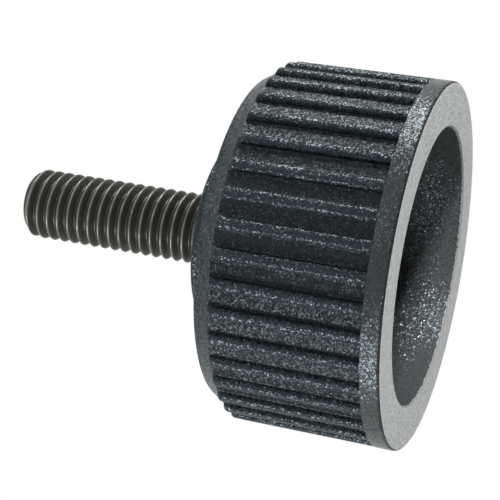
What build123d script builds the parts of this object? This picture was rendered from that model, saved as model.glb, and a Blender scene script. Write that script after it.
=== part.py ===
"""Thumb screw: a ribbed, cupped plastic head moulded round a steel stud.

Millimetres, +Z along the stud. The screw stands on the flat ring of its head, and the
origin is on the axis in the plane of that ring.
"""
import os
from math import floor, pi, radians, tan

from build123d import *

# Head: the outside, from the ring that it stands on to the boss that seats on the work
head_diameter = 25.0
head_length = 14.8
band_length = 1.3
shoulder_length = 1.3
shoulder_setback = 1.25
boss_height = 2.2
boss_diameter = 12.9

# Ribs: straight, with plain lands and steep sides
rib_count = 40
rib_height = 0.45
land_share = 0.35
rib_draft_angle = 12.0
rib_end_chamfer = 0.3

# Recess: the open cup in the head, inside the ring
ring_width = 3.05
recess_corner_chamfer = 0.6
mouth_edge_chamfer = 0.15

# Small broken edges of the moulding
ring_edge_chamfer = 0.15
shoulder_edge_chamfer = 0.12
boss_edge_chamfer = 0.2

# Steel screw: an M5 stud whose hexagon is buried in the plastic and keeps it from turning
stud_diameter = 5.0
stud_length = 14.7
tip_chamfer = 0.45
neck_diameter = 4.48
neck_reach = 0.4
seat_relief_clearance = 0.1
hexagon_across_flats = 8.0
hexagon_height = 3.5
cover_behind_hexagon = 2.0
cover_before_hexagon = 1.8

# Thread: its ridges stand as plain rings, one pitch apart, so that the shank stays few-faced
thread_pitch = 0.8
thread_flank_angle = 30.0
thread_depth_share = 0.54

# Values that follow from these
head_radius = head_diameter / 2
core_radius = head_radius - rib_height
mouth_radius = head_radius - ring_width
shoulder_radius = head_radius - shoulder_setback
boss_radius = boss_diameter / 2
stud_radius = stud_diameter / 2
neck_radius = neck_diameter / 2
back_height = head_length - boss_height
rib_end = back_height - shoulder_length
rib_pitch = pi * head_diameter / rib_count
land_width = land_share * rib_pitch
rib_half_turn = 180 / rib_count
rib_sketch_height = 3 * rib_height
rib_foot_width = land_width + 4 * rib_height * tan(radians(rib_draft_angle))
hexagon_top = head_length - cover_behind_hexagon
hexagon_bottom = hexagon_top - hexagon_height
recess_depth = hexagon_bottom - cover_before_hexagon
seat_relief = stud_radius - neck_radius + seat_relief_clearance
neck_top = head_length + neck_reach
stud_tip = head_length + stud_length
thread_depth = thread_depth_share * thread_pitch
groove_overrun = thread_depth / 5
groove_mouth_half = (thread_depth + groove_overrun) * tan(radians(thread_flank_angle))
groove_start = neck_top + thread_pitch / 2
groove_count = floor((stud_tip - tip_chamfer - neck_top) / thread_pitch)

os.makedirs("parts", exist_ok=True)

# Plastic head
with BuildPart() as head:
    # The cup, turned as one section: recess, ring, band, core, sloping shoulder, back and boss
    with BuildSketch(Plane.XZ) as section:
        with BuildLine():
            Polyline(
                (0, recess_depth),
                (mouth_radius, recess_depth),
                (mouth_radius, 0),
                (head_radius, 0),
                (head_radius, band_length),
                (core_radius, band_length),
                (core_radius, rib_end),
                (shoulder_radius, back_height),
                (boss_radius, back_height),
                (boss_radius, head_length),
                (0, head_length),
                close=True,
            )
        make_face()
        chamfer(section.vertices().sort_by_distance((mouth_radius, recess_depth))[0], recess_corner_chamfer)
        chamfer(section.vertices().sort_by_distance((mouth_radius, 0))[0], mouth_edge_chamfer)
        chamfer(section.vertices().sort_by_distance((head_radius, 0))[0], ring_edge_chamfer)
        chamfer(section.vertices().sort_by_distance((shoulder_radius, back_height))[0], shoulder_edge_chamfer)
        chamfer(section.vertices().sort_by_distance((boss_radius, head_length))[0], boss_edge_chamfer)
    revolve(axis=Axis.Z)

    # The ribs, one section of all of them, raised on the core behind the band
    with BuildSketch(Plane.XY.offset(band_length)):
        with PolarLocations(core_radius + rib_height / 2, rib_count, start_angle=rib_half_turn):
            Trapezoid(rib_foot_width, rib_sketch_height, 90 - rib_draft_angle, rotation=-90)
        Circle(head_radius, mode=Mode.INTERSECT)
    extrude(amount=rib_end - band_length)

    # The broken back ends of the ribs
    with BuildSketch(Plane.XZ):
        with BuildLine():
            Polyline(
                (head_radius, rib_end - rib_end_chamfer),
                (head_radius, rib_end),
                (head_radius - rib_end_chamfer, rib_end),
                close=True,
            )
        make_face()
    revolve(axis=Axis.Z, mode=Mode.SUBTRACT)

    # The seat that the plastic forms round the screw's hexagon and neck
    with BuildSketch(Plane.XY.offset(hexagon_bottom)):
        RegularPolygon(hexagon_across_flats / 2, 6, major_radius=False)
    extrude(amount=hexagon_height, mode=Mode.SUBTRACT)
    with BuildSketch(Plane.XY.offset(hexagon_top)):
        Circle(neck_radius)
    extrude(amount=cover_behind_hexagon, mode=Mode.SUBTRACT)

    # A small countersink in the boss, so that its face seats clear of the thread's first turn
    boss_circles = head.edges().filter_by(GeomType.CIRCLE).group_by(Axis.Z)[-1]
    chamfer(boss_circles.sort_by(SortBy.RADIUS)[0], seat_relief)

head.part.label = "plastic_head"
export_step(head.part, "parts/plastic_head.step")

# Steel screw moulded into the head
with BuildPart() as stud:
    # The shank, turned as one section with its chamfered tip and the grooves between its ridges
    with BuildSketch(Plane.XZ):
        with BuildLine():
            Polyline(
                (0, neck_top),
                (stud_radius, neck_top),
                (stud_radius, stud_tip - tip_chamfer),
                (stud_radius - tip_chamfer, stud_tip),
                (0, stud_tip),
                close=True,
            )
        make_face()
        with Locations(*[(stud_radius, groove_start + number * thread_pitch) for number in range(groove_count)]):
            Polygon(
                (-thread_depth, 0),
                (groove_overrun, groove_mouth_half),
                (groove_overrun, -groove_mouth_half),
                align=None,
                mode=Mode.SUBTRACT,
            )
    revolve(axis=Axis.Z)

    # The plain neck and the hexagon, both inside the plastic
    with BuildSketch(Plane.XY.offset(hexagon_top)):
        Circle(neck_radius)
    extrude(amount=neck_top - hexagon_top)
    with BuildSketch(Plane.XY.offset(hexagon_bottom)):
        RegularPolygon(hexagon_across_flats / 2, 6, major_radius=False)
    extrude(amount=hexagon_height)

stud.part.label = "threaded_stud"
export_step(stud.part, "parts/threaded_stud.step")
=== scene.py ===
import math

import bpy
from mathutils import Matrix, Vector


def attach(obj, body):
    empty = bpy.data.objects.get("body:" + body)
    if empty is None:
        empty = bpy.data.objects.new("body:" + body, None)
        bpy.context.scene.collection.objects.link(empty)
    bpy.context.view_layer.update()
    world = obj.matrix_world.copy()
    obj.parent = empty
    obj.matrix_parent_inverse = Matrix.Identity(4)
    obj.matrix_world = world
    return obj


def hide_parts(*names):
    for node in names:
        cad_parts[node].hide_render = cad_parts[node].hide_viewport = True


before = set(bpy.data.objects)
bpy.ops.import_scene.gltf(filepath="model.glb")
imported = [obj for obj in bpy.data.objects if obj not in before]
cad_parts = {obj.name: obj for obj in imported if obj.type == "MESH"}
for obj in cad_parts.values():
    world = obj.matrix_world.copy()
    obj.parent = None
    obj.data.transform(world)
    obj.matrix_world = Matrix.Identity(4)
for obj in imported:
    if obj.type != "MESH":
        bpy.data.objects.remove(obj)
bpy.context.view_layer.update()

# The head: one moulding of black glass-filled nylon, a cup with straight ribs round its outside.
# Every rib is alike, so one slice of the skin is drawn, from the middle of the recess over the ring,
# the band, one rib, the shoulder and the boss, and the slices are then set round the axis.
MM = 0.001
RIB_COUNT = 40
HEAD_R, CORE_R, MOUTH_R = 12.5, 12.05, 9.45
RECESS_DEPTH, RECESS_ROUND, MOUTH_ROUND, RING_ROUND = 7.5, 1.0, 0.15, 0.2
BAND_END, RIB_END, RIB_END_ROUND = 1.3, 11.3, 0.3
SHOULDER_R, BACK_Z, SHOULDER_ROUND = 11.25, 12.6, 0.15
BOSS_R, BOSS_Z, BOSS_ROUND, BOSS_ROOT = 6.45, 14.8, 0.2, 0.25


def rounded(corners, steps=4, run_out=1.25):
    """A half section through (radius, height, rounding) corners, with an arc at each rounded one.

    A point lies a little beyond each end of an arc, at run_out times its reach, so that flats shade flat.
    """
    line = []
    for i, (r, z, rounding) in enumerate(corners):
        here = Vector((r, z))
        if not rounding:
            line.append((r, z))
            continue
        to_last = (Vector(corners[i - 1][:2]) - here).normalized()
        to_next = (Vector(corners[i + 1][:2]) - here).normalized()
        half = to_last.angle(to_next) / 2
        reach = rounding / math.tan(half)
        centre = here + (to_last + to_next).normalized() * (rounding / math.sin(half))
        start = (here + to_last * reach - centre).normalized()
        end = (here + to_next * reach - centre).normalized()
        line.append(tuple(here + to_last * reach * run_out))
        line += [tuple(centre + start.slerp(end, k / steps) * rounding) for k in range(steps + 1)]
        line.append(tuple(here + to_next * reach * run_out))
    return line


# Rows of the skin: radius, height, how far the groove is open, how much of the rib is left.
# The grooves open just behind the band, and at their back end the ribs round down to the shoulder.
BAND_HOLD = 0.07
GROOVE_OPENS = ((-0.03, 0.02), (0.0, 0.1), (0.05, 0.88), (0.08, 0.97), (0.13, 1.0), (3.0, 1.0), (6.5, 1.0))
RIB_END_PARTS = (0.0, 0.35, 0.62, 0.83, 0.95, 1.0)
RIB_FOOT = ((0.015, 0.1), (0.04, 0.02))
SHOULDER_START, SHOULDER_INSET = 0.08, 0.05
skin = [(r, z, 0.0, None) for r, z in rounded([
    (0.0, RECESS_DEPTH, 0), (MOUTH_R, RECESS_DEPTH, RECESS_ROUND), (MOUTH_R, 0.0, MOUTH_ROUND),
    (HEAD_R, 0.0, RING_ROUND), (HEAD_R, BAND_END - BAND_HOLD, 0)])]
skin += [(HEAD_R, BAND_END + dz, groove, 1.0) for dz, groove in GROOVE_OPENS]
for part in RIB_END_PARTS:
    drop = RIB_END_ROUND * (1 - math.sqrt(1 - part ** 2))
    skin.append((HEAD_R, RIB_END - RIB_END_ROUND * (1 - part), 1.0, 1 - drop / (HEAD_R - CORE_R)))
skin += [(HEAD_R, RIB_END + dz, 1.0, left) for dz, left in RIB_FOOT]
skin += [(r, z, 0.0, None) for r, z in rounded([
    (CORE_R - SHOULDER_INSET, RIB_END + SHOULDER_START, 0), (SHOULDER_R, BACK_Z, SHOULDER_ROUND),
    (BOSS_R, BACK_Z, BOSS_ROOT), (BOSS_R, BOSS_Z, BOSS_ROUND), (0.0, BOSS_Z, 0)])]

# Columns of the slice: share of the rib's pitch from its middle, share of the rib's height there
half_rib = [
    (0.0, 1.0), (0.03, 1.0), (0.062, 0.988), (0.093, 0.951), (0.123, 0.892), (0.149, 0.811), (0.172, 0.711),
    (0.181, 0.66), (0.190, 0.60), (0.214, 0.12), (0.222, 0.04), (0.240, 0.0), (0.34, 0.0), (0.5, 0.0)]
columns = [(-share, high) for share, high in reversed(half_rib[1:])] + half_rib
slice_points, slice_faces = [], []
for r, z, groove, rib in skin:
    for share, high in columns:
        turn = 2 * math.pi / RIB_COUNT * (share + 0.5)
        reach = r if rib is None else CORE_R + (HEAD_R - CORE_R) * rib * (1 - groove * (1 - high))
        slice_points.append((reach * math.cos(turn) * MM, reach * math.sin(turn) * MM, z * MM))
for i in range(len(skin) - 1):
    for j in range(len(columns) - 1):
        a = i * len(columns) + j
        b = a + len(columns)
        slice_faces.append((a, b, b + 1, a + 1))
slice_mesh = bpy.data.meshes.new("head_slice")
slice_mesh.from_pydata(slice_points, [], slice_faces)
head = bpy.data.objects.new("ribbed_head", slice_mesh)
bpy.context.scene.collection.objects.link(head)

# Glass-filled nylon: blue-black, with a grain of tiny fibre ends that glint. The band is painted lighter
# than the ribs as a painted sheen, the cup is painted lighter as painted light in the recess, and the
# floors of the grooves are painted darkest as painted shade. The ring is faced off flat and painted pale,
# partly for its cut fibres and partly as a painted reflection of the bright surroundings.
CUP_MARGIN, CUP_FLOOR_MARGIN, BAND_MARGIN = 0.16, 0.1, 0.02
GROOVE_REACH = 0.14
FACED_DEPTH, LIP_REACH, LIP_DEPTH, LIP_WIDTH = 0.012, 0.3, 0.26, 0.12
GRAIN_SCALE, DUST_SCALE = 11000, 5000
# Painted shade for the floors of the grooves, and a mid grey for the edge of the mouth
GROOVE_PAINTED_SHADE, LIP_TONE = (0.003, 0.004, 0.0045, 1), (0.13, 0.133, 0.133, 1)
nylon = bpy.data.materials.new("black_nylon")
nylon.use_nodes = True
tree = nylon.node_tree
shader = tree.nodes["Principled BSDF"]
shader.inputs["Specular IOR Level"].default_value = 0.17
shader.inputs["Specular Tint"].default_value = (0.75, 0.91, 1.0, 1)
place = tree.nodes.new("ShaderNodeTexCoord")
skin_normal = tree.nodes.new("ShaderNodeNewGeometry")


def nylon_math(operation, *values):
    """One step of the nylon's sums; its inputs are sockets or plain numbers."""
    node = tree.nodes.new("ShaderNodeMath")
    node.operation = operation
    for k, value in enumerate(values):
        if isinstance(value, (int, float)):
            node.inputs[k].default_value = value
        else:
            tree.links.new(value, node.inputs[k])
    return node.outputs[0]


def nylon_blend(share, first, second):
    """Two colours mixed; each is a socket or a plain colour."""
    node = tree.nodes.new("ShaderNodeMixRGB")
    tree.links.new(share, node.inputs["Fac"])
    for name, value in (("Color1", first), ("Color2", second)):
        if isinstance(value, tuple):
            node.inputs[name].default_value = value
        else:
            tree.links.new(value, node.inputs[name])
    return node.outputs["Color"]


axes = tree.nodes.new("ShaderNodeSeparateXYZ")
tree.links.new(place.outputs["Object"], axes.inputs[0])
x, y, z = axes.outputs
off_axis = nylon_math("SQRT", nylon_math("ADD", nylon_math("MULTIPLY", x, x), nylon_math("MULTIPLY", y, y)))
in_cup = nylon_math("MULTIPLY", nylon_math("LESS_THAN", off_axis, (MOUTH_R + CUP_MARGIN) * MM),
                    nylon_math("LESS_THAN", z, (RECESS_DEPTH + CUP_FLOOR_MARGIN) * MM))
on_band = nylon_math("LESS_THAN", z, (BAND_END - BAND_MARGIN) * MM)
off_core = nylon_math("ABSOLUTE", nylon_math("SUBTRACT", off_axis, CORE_R * MM))
along_ribs = nylon_math("MULTIPLY", nylon_math("GREATER_THAN", z, BAND_END * MM),
                        nylon_math("LESS_THAN", z, RIB_END * MM))
in_groove = nylon_math("MULTIPLY", nylon_math("LESS_THAN", off_core, GROOVE_REACH * MM), along_ribs)
grain = tree.nodes.new("ShaderNodeTexVoronoi")
grain.inputs["Scale"].default_value = GRAIN_SCALE
tree.links.new(place.outputs["Object"], grain.inputs["Vector"])
fibre = tree.nodes.new("ShaderNodeSeparateColor")
tree.links.new(grain.outputs["Color"], fibre.inputs["Color"])
dust = tree.nodes.new("ShaderNodeTexNoise")
dust.inputs["Scale"].default_value = DUST_SCALE
dust.inputs["Detail"].default_value = 3
tree.links.new(place.outputs["Object"], dust.inputs["Vector"])
rough_lip = nylon_math("MULTIPLY", nylon_math("LESS_THAN", off_axis, (MOUTH_R + LIP_REACH) * MM),
                       nylon_math("MULTIPLY", dust.outputs["Fac"], LIP_DEPTH * MM))
faced = nylon_math("LESS_THAN", z, nylon_math("MAXIMUM", rough_lip, FACED_DEPTH * MM))
rib_tone = nylon_blend(dust.outputs["Fac"], (0.005, 0.008, 0.010, 1), (0.011, 0.016, 0.018, 1))
# The band's lighter tone is a painted sheen
band_tone_and_sheen = nylon_blend(dust.outputs["Fac"], (0.010, 0.012, 0.013, 1), (0.026, 0.028, 0.028, 1))
# The cup's lighter tone is painted light in the recess
cup_tone_and_light = nylon_blend(dust.outputs["Fac"], (0.016, 0.018, 0.019, 1), (0.042, 0.044, 0.045, 1))
# The ring's pale tone is partly its cut fibres and partly a painted reflection of the bright surroundings
ring_tone_and_reflection = nylon_blend(dust.outputs["Fac"], (0.235, 0.24, 0.24, 1), (0.43, 0.44, 0.44, 1))
# The floors of the grooves take the painted shade
outside_tone_sheen_and_shade = nylon_blend(in_groove, nylon_blend(on_band, rib_tone, band_tone_and_sheen), GROOVE_PAINTED_SHADE)
moulded_tone_and_painted_light = nylon_blend(in_cup, outside_tone_sheen_and_shade, cup_tone_and_light)
on_lip = nylon_math("LESS_THAN", off_axis, (MOUTH_R + LIP_WIDTH) * MM)
pale_tone_and_reflection = nylon_blend(on_lip, ring_tone_and_reflection, LIP_TONE)
tree.links.new(nylon_blend(faced, moulded_tone_and_painted_light, pale_tone_and_reflection), shader.inputs["Base Color"])

# Every fibre end lies a little askew. About every fourth, outside the grooves and the faced ring, is
# smoother and lies further over, so that it glints. On the band they all lie flatter.
GLINT_FROM = 0.72
ROUGH_LEAST, ROUGH_SPREAD = 0.24, 0.14
FACED_ROUGHER, GROOVE_ROUGHER, GLINT_SMOOTHER = 0.2, 0.12, 0.06
LEAN, GLINT_LEAN, BAND_FLATTER = 0.65, 0.45, 0.45
glint = nylon_math("MULTIPLY", nylon_math("GREATER_THAN", fibre.outputs["Blue"], GLINT_FROM),
                   nylon_math("SUBTRACT", 1, nylon_math("MAXIMUM", faced, in_groove)))
grain_rough = nylon_math("ADD", nylon_math("MULTIPLY", fibre.outputs["Green"], ROUGH_SPREAD), ROUGH_LEAST)
rougher = nylon_math("ADD", nylon_math("MULTIPLY", faced, FACED_ROUGHER),
                     nylon_math("MULTIPLY", in_groove, GROOVE_ROUGHER))
smoother = nylon_math("MULTIPLY", glint, GLINT_SMOOTHER)
tree.links.new(nylon_math("SUBTRACT", nylon_math("ADD", grain_rough, rougher), smoother),
               shader.inputs["Roughness"])
tilt = tree.nodes.new("ShaderNodeVectorMath")
tilt.operation = "SUBTRACT"
tilt.inputs[1].default_value = (0.5, 0.5, 0.5)
tree.links.new(grain.outputs["Color"], tilt.inputs[0])
leaned = tree.nodes.new("ShaderNodeVectorMath")
leaned.operation = "SCALE"
tree.links.new(tilt.outputs["Vector"], leaned.inputs[0])
lean = nylon_math("ADD", nylon_math("MULTIPLY", glint, GLINT_LEAN), LEAN)
band_share = nylon_math("SUBTRACT", 1, nylon_math("MULTIPLY", on_band, BAND_FLATTER))
tree.links.new(nylon_math("MULTIPLY", lean, band_share), leaned.inputs["Scale"])
tilted = tree.nodes.new("ShaderNodeVectorMath")
tree.links.new(skin_normal.outputs["Normal"], tilted.inputs[0])
tree.links.new(leaned.outputs["Vector"], tilted.inputs[1])
unit = tree.nodes.new("ShaderNodeVectorMath")
unit.operation = "NORMALIZE"
tree.links.new(tilted.outputs["Vector"], unit.inputs[0])
tree.links.new(unit.outputs["Vector"], shader.inputs["Normal"])

# The slices set round the axis and joined into one skin
SLICE_WELD = 1e-6
round_head = bpy.data.node_groups.new("slices_round_axis", "GeometryNodeTree")
round_head.interface.new_socket("Slice", in_out="INPUT", socket_type="NodeSocketGeometry")
count_socket = round_head.interface.new_socket("Rib Count", in_out="INPUT", socket_type="NodeSocketInt")
plastic_socket = round_head.interface.new_socket("Plastic", in_out="INPUT", socket_type="NodeSocketMaterial")
round_head.interface.new_socket("Head", in_out="OUTPUT", socket_type="NodeSocketGeometry")
given = round_head.nodes.new("NodeGroupInput")
made = round_head.nodes.new("NodeGroupOutput")
spots = round_head.nodes.new("GeometryNodePoints")
number = round_head.nodes.new("GeometryNodeInputIndex")
pitch = round_head.nodes.new("ShaderNodeMath")
pitch.operation = "DIVIDE"
pitch.inputs[0].default_value = 2 * math.pi
turn = round_head.nodes.new("ShaderNodeMath")
turn.operation = "MULTIPLY"
about = round_head.nodes.new("ShaderNodeCombineXYZ")
copies = round_head.nodes.new("GeometryNodeInstanceOnPoints")
real = round_head.nodes.new("GeometryNodeRealizeInstances")
weld = round_head.nodes.new("GeometryNodeMergeByDistance")
weld.inputs["Distance"].default_value = SLICE_WELD
smooth = round_head.nodes.new("GeometryNodeSetShadeSmooth")
clad = round_head.nodes.new("GeometryNodeSetMaterial")
links = round_head.links
links.new(given.outputs["Rib Count"], spots.inputs["Count"])
links.new(given.outputs["Rib Count"], pitch.inputs[1])
links.new(number.outputs["Index"], turn.inputs[0])
links.new(pitch.outputs[0], turn.inputs[1])
links.new(turn.outputs[0], about.inputs["Z"])
links.new(spots.outputs[0], copies.inputs["Points"])
links.new(given.outputs["Slice"], copies.inputs["Instance"])
links.new(about.outputs[0], copies.inputs["Rotation"])
links.new(copies.outputs[0], real.inputs[0])
links.new(real.outputs[0], weld.inputs[0])
links.new(weld.outputs[0], smooth.inputs[0])
links.new(given.outputs["Plastic"], clad.inputs["Material"])
links.new(smooth.outputs[0], clad.inputs[0])
links.new(clad.outputs[0], made.inputs[0])
maker = head.modifiers.new("slices", "NODES")
maker.node_group = round_head
maker[count_socket.identifier] = RIB_COUNT
maker[plastic_socket.identifier] = nylon
bpy.context.view_layer.update()
head_mesh = bpy.data.meshes.new_from_object(head.evaluated_get(bpy.context.evaluated_depsgraph_get()))
head.modifiers.clear()
head.data = head_mesh
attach(head, "root")
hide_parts("plastic_head")

# The stud: a steel screw with its hexagon buried in the plastic, which the head is moulded round.
# A plain blank is drawn first, with its neck and chamfered tip, and then its thread is rolled in.
HEXAGON_ACROSS, HEXAGON_BOTTOM, HEXAGON_TOP = 8.0, 9.3, 12.8
NECK_R, NECK_TOP, NECK_HOLD = 2.24, 15.2, 0.02
STUD_R, STUD_TIP, TIP_CHAMFER = 2.5, 29.5, 0.45
THREAD_PITCH, THREAD_DEPTH = 0.8, 0.46
THREAD_HAND = -1.0
ROUND_STEPS, ROWS_PER_PITCH, TIP_ROWS = 96, 16, 12
TIP_RINGS = (1.9, 1.0, 0.0)
blank = [(0.0, HEXAGON_BOTTOM, False), (HEXAGON_ACROSS / 2, HEXAGON_BOTTOM, True),
         (HEXAGON_ACROSS / 2, HEXAGON_TOP, True), (NECK_R, HEXAGON_TOP, False),
         (NECK_R, NECK_TOP - NECK_HOLD, False)]
rolled_rows = ROWS_PER_PITCH * math.ceil((STUD_TIP - TIP_CHAMFER - NECK_TOP) / THREAD_PITCH)
for i in range(rolled_rows):
    blank.append((STUD_R, NECK_TOP + (STUD_TIP - TIP_CHAMFER - NECK_TOP) * i / rolled_rows, False))
for i in range(TIP_ROWS + 1):
    blank.append((STUD_R - TIP_CHAMFER * i / TIP_ROWS, STUD_TIP - TIP_CHAMFER * (1 - i / TIP_ROWS), False))
blank += [(r, STUD_TIP, False) for r in TIP_RINGS]
blank_points, blank_faces = [], []
for r, z, six_sided in blank:
    for j in range(ROUND_STEPS):
        turn_at = 2 * math.pi * j / ROUND_STEPS
        off_flat = (turn_at + math.pi / 6) % (math.pi / 3) - math.pi / 6
        reach = r / math.cos(off_flat) if six_sided else r
        blank_points.append((reach * math.cos(turn_at) * MM, reach * math.sin(turn_at) * MM, z * MM))
for i in range(len(blank) - 1):
    for j in range(ROUND_STEPS):
        a, b = i * ROUND_STEPS + j, i * ROUND_STEPS + (j + 1) % ROUND_STEPS
        blank_faces.append((a, b, b + ROUND_STEPS, a + ROUND_STEPS))
blank_mesh = bpy.data.meshes.new("stud_blank")
blank_mesh.from_pydata(blank_points, [], blank_faces)
stud = bpy.data.objects.new("threaded_steel_stud", blank_mesh)
bpy.context.scene.collection.objects.link(stud)

# Darkened and oiled steel, a little lighter on the crests, partly as rubbing wear and partly as a painted
# highlight along them
CREST_DEPTH = 0.10
steel = bpy.data.materials.new("dark_steel")
steel.use_nodes = True
tree = steel.node_tree
shader = tree.nodes["Principled BSDF"]
shader.inputs["Metallic"].default_value = 0.35
shader.inputs["Specular IOR Level"].default_value = 0.22
place = tree.nodes.new("ShaderNodeTexCoord")
flat = tree.nodes.new("ShaderNodeVectorMath")
flat.operation = "MULTIPLY"
flat.inputs[1].default_value = (1, 1, 0)
tree.links.new(place.outputs["Object"], flat.inputs[0])
off_axis = tree.nodes.new("ShaderNodeVectorMath")
off_axis.operation = "LENGTH"
tree.links.new(flat.outputs["Vector"], off_axis.inputs[0])
crest = tree.nodes.new("ShaderNodeMapRange")
crest.inputs["From Min"].default_value = (STUD_R - CREST_DEPTH) * MM
crest.inputs["From Max"].default_value = STUD_R * MM
tree.links.new(off_axis.outputs["Value"], crest.inputs["Value"])
stain = tree.nodes.new("ShaderNodeTexNoise")
stain.inputs["Scale"].default_value = 1500
stain.inputs["Detail"].default_value = 4
tree.links.new(place.outputs["Object"], stain.inputs["Vector"])
# The crests' lighter tone is partly rubbing wear and partly a painted highlight along them
crest_wear_and_sheen = tree.nodes.new("ShaderNodeMath")
crest_wear_and_sheen.operation = "MULTIPLY"
tree.links.new(crest.outputs["Result"], crest_wear_and_sheen.inputs[0])
tree.links.new(stain.outputs["Fac"], crest_wear_and_sheen.inputs[1])
steel_tone = tree.nodes.new("ShaderNodeValToRGB")
steel_tone.color_ramp.elements[0].color = (0.020, 0.020, 0.0165, 1)
steel_tone.color_ramp.elements[1].color = (0.17, 0.168, 0.15, 1)
tree.links.new(crest_wear_and_sheen.outputs[0], steel_tone.inputs["Fac"])
tree.links.new(steel_tone.outputs["Color"], shader.inputs["Base Color"])
steel_rough = tree.nodes.new("ShaderNodeMapRange")
steel_rough.inputs["To Min"].default_value = 0.28
steel_rough.inputs["To Max"].default_value = 0.48
tree.links.new(stain.outputs["Fac"], steel_rough.inputs["Value"])
tree.links.new(steel_rough.outputs["Result"], shader.inputs["Roughness"])

# The rolled thread: each point of the blank moves in to the thread's profile at its turn and height
CREST_SHARPNESS, ROLL_MARGIN = 1.3, 0.01
LEAST_RADIUS, STUD_WELD = 1e-9, 1e-7
rolling = bpy.data.node_groups.new("rolled_thread", "GeometryNodeTree")
rolling.interface.new_socket("Blank", in_out="INPUT", socket_type="NodeSocketGeometry")
pitch_socket = rolling.interface.new_socket("Pitch", in_out="INPUT", socket_type="NodeSocketFloat")
depth_socket = rolling.interface.new_socket("Depth", in_out="INPUT", socket_type="NodeSocketFloat")
radius_socket = rolling.interface.new_socket("Outside Radius", in_out="INPUT", socket_type="NodeSocketFloat")
hand_socket = rolling.interface.new_socket("Hand", in_out="INPUT", socket_type="NodeSocketFloat")
steel_socket = rolling.interface.new_socket("Steel", in_out="INPUT", socket_type="NodeSocketMaterial")
rolling.interface.new_socket("Stud", in_out="OUTPUT", socket_type="NodeSocketGeometry")
given = rolling.nodes.new("NodeGroupInput")
made = rolling.nodes.new("NodeGroupOutput")
links = rolling.links


def thread_math(operation, first, second=None):
    """One step of the thread's sum; its inputs are sockets or plain numbers."""
    node = rolling.nodes.new("ShaderNodeMath")
    node.operation = operation
    for k, value in enumerate(v for v in (first, second) if v is not None):
        if isinstance(value, (int, float)):
            node.inputs[k].default_value = value
        else:
            links.new(value, node.inputs[k])
    return node.outputs[0]


spot = rolling.nodes.new("GeometryNodeInputPosition")
axes = rolling.nodes.new("ShaderNodeSeparateXYZ")
links.new(spot.outputs[0], axes.inputs[0])
x, y, z = axes.outputs
turned = thread_math("DIVIDE", thread_math("ARCTAN2", y, x), 2 * math.pi)
lead = thread_math("SUBTRACT", thread_math("DIVIDE", z, given.outputs["Pitch"]),
                   thread_math("MULTIPLY", turned, given.outputs["Hand"]))
to_and_fro = thread_math("SUBTRACT", thread_math("MULTIPLY", thread_math("FRACT", lead), 2), 1)
ridge = thread_math("ABSOLUTE", to_and_fro)
form = thread_math("POWER", thread_math("SUBTRACT", 1, ridge), CREST_SHARPNESS)
cut = thread_math("SUBTRACT", given.outputs["Outside Radius"],
                  thread_math("MULTIPLY", form, given.outputs["Depth"]))
off = thread_math("SQRT", thread_math("ADD", thread_math("MULTIPLY", x, x), thread_math("MULTIPLY", y, y)))
share = thread_math("DIVIDE", thread_math("MINIMUM", off, cut), thread_math("MAXIMUM", off, LEAST_RADIUS))
on_thread = thread_math("GREATER_THAN", z, (NECK_TOP - ROLL_MARGIN) * MM)
moved = rolling.nodes.new("ShaderNodeCombineXYZ")
links.new(thread_math("MULTIPLY", x, share), moved.inputs["X"])
links.new(thread_math("MULTIPLY", y, share), moved.inputs["Y"])
links.new(z, moved.inputs["Z"])
press = rolling.nodes.new("GeometryNodeSetPosition")
links.new(given.outputs["Blank"], press.inputs["Geometry"])
links.new(on_thread, press.inputs["Selection"])
links.new(moved.outputs[0], press.inputs["Position"])
weld = rolling.nodes.new("GeometryNodeMergeByDistance")
weld.inputs["Distance"].default_value = STUD_WELD
links.new(press.outputs[0], weld.inputs[0])
smooth = rolling.nodes.new("GeometryNodeSetShadeSmooth")
links.new(weld.outputs[0], smooth.inputs[0])
real = rolling.nodes.new("GeometryNodeRealizeInstances")
links.new(smooth.outputs[0], real.inputs[0])
clad = rolling.nodes.new("GeometryNodeSetMaterial")
links.new(given.outputs["Steel"], clad.inputs["Material"])
links.new(real.outputs[0], clad.inputs[0])
links.new(clad.outputs[0], made.inputs[0])
roller = stud.modifiers.new("thread", "NODES")
roller.node_group = rolling
roller[pitch_socket.identifier] = THREAD_PITCH * MM
roller[depth_socket.identifier] = THREAD_DEPTH * MM
roller[radius_socket.identifier] = STUD_R * MM
roller[hand_socket.identifier] = THREAD_HAND
roller[steel_socket.identifier] = steel
bpy.context.view_layer.update()
stud_mesh = bpy.data.meshes.new_from_object(stud.evaluated_get(bpy.context.evaluated_depsgraph_get()))
stud.modifiers.clear()
stud.data = stud_mesh
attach(stud, "root")
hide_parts("threaded_stud")

# The table: a plain pale sheet that the head stands on, seen through from underneath like clear glass,
# because the picture is taken from below its level. It is open under the head, which covers the hole.
FLOOR_Z, FLOOR_RINGS, FLOOR_STEPS = 0.03, (12.3, 60.0, 900.0), 128
floor_points, floor_faces = [], []
for r in FLOOR_RINGS:
    for j in range(FLOOR_STEPS):
        at = 2 * math.pi * j / FLOOR_STEPS
        floor_points.append((r * math.cos(at) * MM, r * math.sin(at) * MM, FLOOR_Z * MM))
for i in range(len(FLOOR_RINGS) - 1):
    for j in range(FLOOR_STEPS):
        a, b = i * FLOOR_STEPS + j, i * FLOOR_STEPS + (j + 1) % FLOOR_STEPS
        floor_faces.append((a, a + FLOOR_STEPS, b + FLOOR_STEPS, b))
floor_mesh = bpy.data.meshes.new("table")
floor_mesh.from_pydata(floor_points, [], floor_faces)
floor = bpy.data.objects.new("table", floor_mesh)
bpy.context.scene.collection.objects.link(floor)
pale = bpy.data.materials.new("pale_table")
pale.use_nodes = True
tree = pale.node_tree
tree.nodes.remove(tree.nodes["Principled BSDF"])
top = tree.nodes.new("ShaderNodeBsdfDiffuse")
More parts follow.
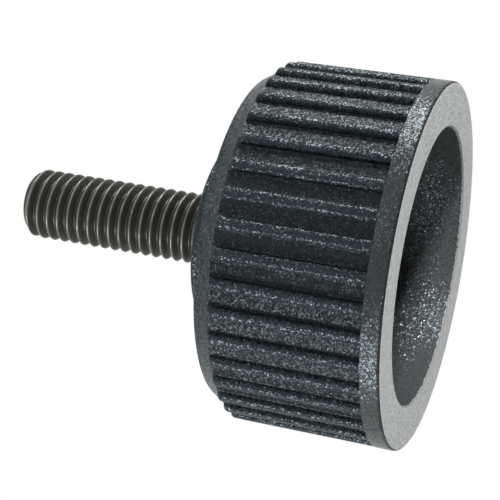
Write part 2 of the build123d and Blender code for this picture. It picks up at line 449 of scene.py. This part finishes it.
top.inputs["Color"].default_value = (0.62, 0.62, 0.62, 1)
clear = tree.nodes.new("ShaderNodeBsdfTransparent")
side = tree.nodes.new("ShaderNodeNewGeometry")
either = tree.nodes.new("ShaderNodeMixShader")
tree.links.new(side.outputs["Backfacing"], either.inputs["Fac"])
tree.links.new(top.outputs[0], either.inputs[1])
tree.links.new(clear.outputs[0], either.inputs[2])
tree.links.new(either.outputs[0], tree.nodes["Material Output"].inputs["Surface"])
floor_mesh.materials.append(pale)

# The camera: the picture's up lies across the screw and its right is the way that the ring faces.
# A 108 mm lens on a 36 mm frame, about 100 mm from the ring, fitted to the edges of head and stud.
UP_TURN = math.radians(2.05)
YAW, ROLL = math.radians(17.85), math.radians(9.54)
FIT_UNIT, EYE_RIGHT, EYE_DOWN, EYE_AWAY = 12.31, 0.983, 0.094, 8.175
ring_way = Vector((0, 0, -1))
picture_up = Vector((math.cos(UP_TURN), math.sin(UP_TURN), 0))
to_viewer = ring_way.cross(picture_up)
right = (math.cos(YAW) * math.cos(ROLL) * ring_way + math.sin(ROLL) * picture_up
         - math.sin(YAW) * math.cos(ROLL) * to_viewer)
down = (math.cos(YAW) * math.sin(ROLL) * ring_way - math.cos(ROLL) * picture_up
        - math.sin(YAW) * math.sin(ROLL) * to_viewer)
away = -math.sin(YAW) * ring_way - math.cos(YAW) * to_viewer
eye = -FIT_UNIT * MM * (EYE_RIGHT * right + EYE_DOWN * down + EYE_AWAY * away)
lens = bpy.data.cameras.new("picture_camera")
lens.sensor_width = 36
lens.lens = 108
lens.clip_start = 0.005
camera = bpy.data.objects.new("picture_camera", lens)
camera.matrix_world = Matrix((
    (right.x, -down.x, -away.x, eye.x),
    (right.y, -down.y, -away.y, eye.y),
    (right.z, -down.z, -away.z, eye.z),
    (0, 0, 0, 1)))
bpy.context.scene.collection.objects.link(camera)
bpy.context.scene.camera = camera

# The light: broad lamps at the picture's top and bottom, a weak one between the top and the camera, and a
# weak one over the table. Two more, below its level, reach only the ring and the recess.
LAMP_AIM_Z = 8
lamp_aim = Vector((0, 0, LAMP_AIM_Z * MM))
for name, way, far, width, power in (
        ("lamp_top", 0.985 * picture_up + 0.05 * to_viewer - 0.13 * ring_way, 0.25, 0.10, 1.4),
        ("lamp_side", 0.67 * picture_up + 0.74 * to_viewer + 0.18 * ring_way, 0.25, 0.03, 1.8),
        ("lamp_bottom", -0.88 * picture_up + 0.44 * to_viewer - 0.11 * ring_way, 0.25, 0.08, 1.3),
        ("lamp_low", -0.85 * picture_up + 0.45 * to_viewer + 0.3 * ring_way, 0.25, 0.06, 0.45),
        ("lamp_front", 0.4 * picture_up + 0.86 * to_viewer - 0.31 * ring_way, 0.25, 0.04, 0.2),
        ("lamp_over", -ring_way, 0.35, 0.07, 0.12)):
    lamp = bpy.data.lights.new(name, "AREA")
    lamp.shape = "SQUARE"
    lamp.size = width
    lamp.energy = power
    holder = bpy.data.objects.new(name, lamp)
    holder.location = lamp_aim + way.normalized() * far
    holder.rotation_euler = (-way).to_track_quat("-Z", "Y").to_euler()
    bpy.context.scene.collection.objects.link(holder)

# The surroundings: white to the camera and in reflections, and a soft grey fill on matt surfaces
FILL_GREY = (0.40, 0.40, 0.40, 1)
sky = bpy.data.worlds.new("studio")
bpy.context.scene.world = sky
sky.use_nodes = True
tree = sky.node_tree
ray = tree.nodes.new("ShaderNodeLightPath")
tone = tree.nodes.new("ShaderNodeMixRGB")
tone.inputs["Color1"].default_value = FILL_GREY
tone.inputs["Color2"].default_value = (1, 1, 1, 1)
seen = tree.nodes.new("ShaderNodeMath")
seen.operation = "MAXIMUM"
tree.links.new(ray.outputs["Is Camera Ray"], seen.inputs[0])
tree.links.new(ray.outputs["Is Glossy Ray"], seen.inputs[1])
through = tree.nodes.new("ShaderNodeMath")
through.operation = "MAXIMUM"
tree.links.new(seen.outputs[0], through.inputs[0])
tree.links.new(ray.outputs["Is Transmission Ray"], through.inputs[1])
tree.links.new(through.outputs[0], tone.inputs["Fac"])
tree.links.new(tone.outputs["Color"], tree.nodes["Background"].inputs["Color"])
bpy.context.scene.view_settings.view_transform = "Standard"
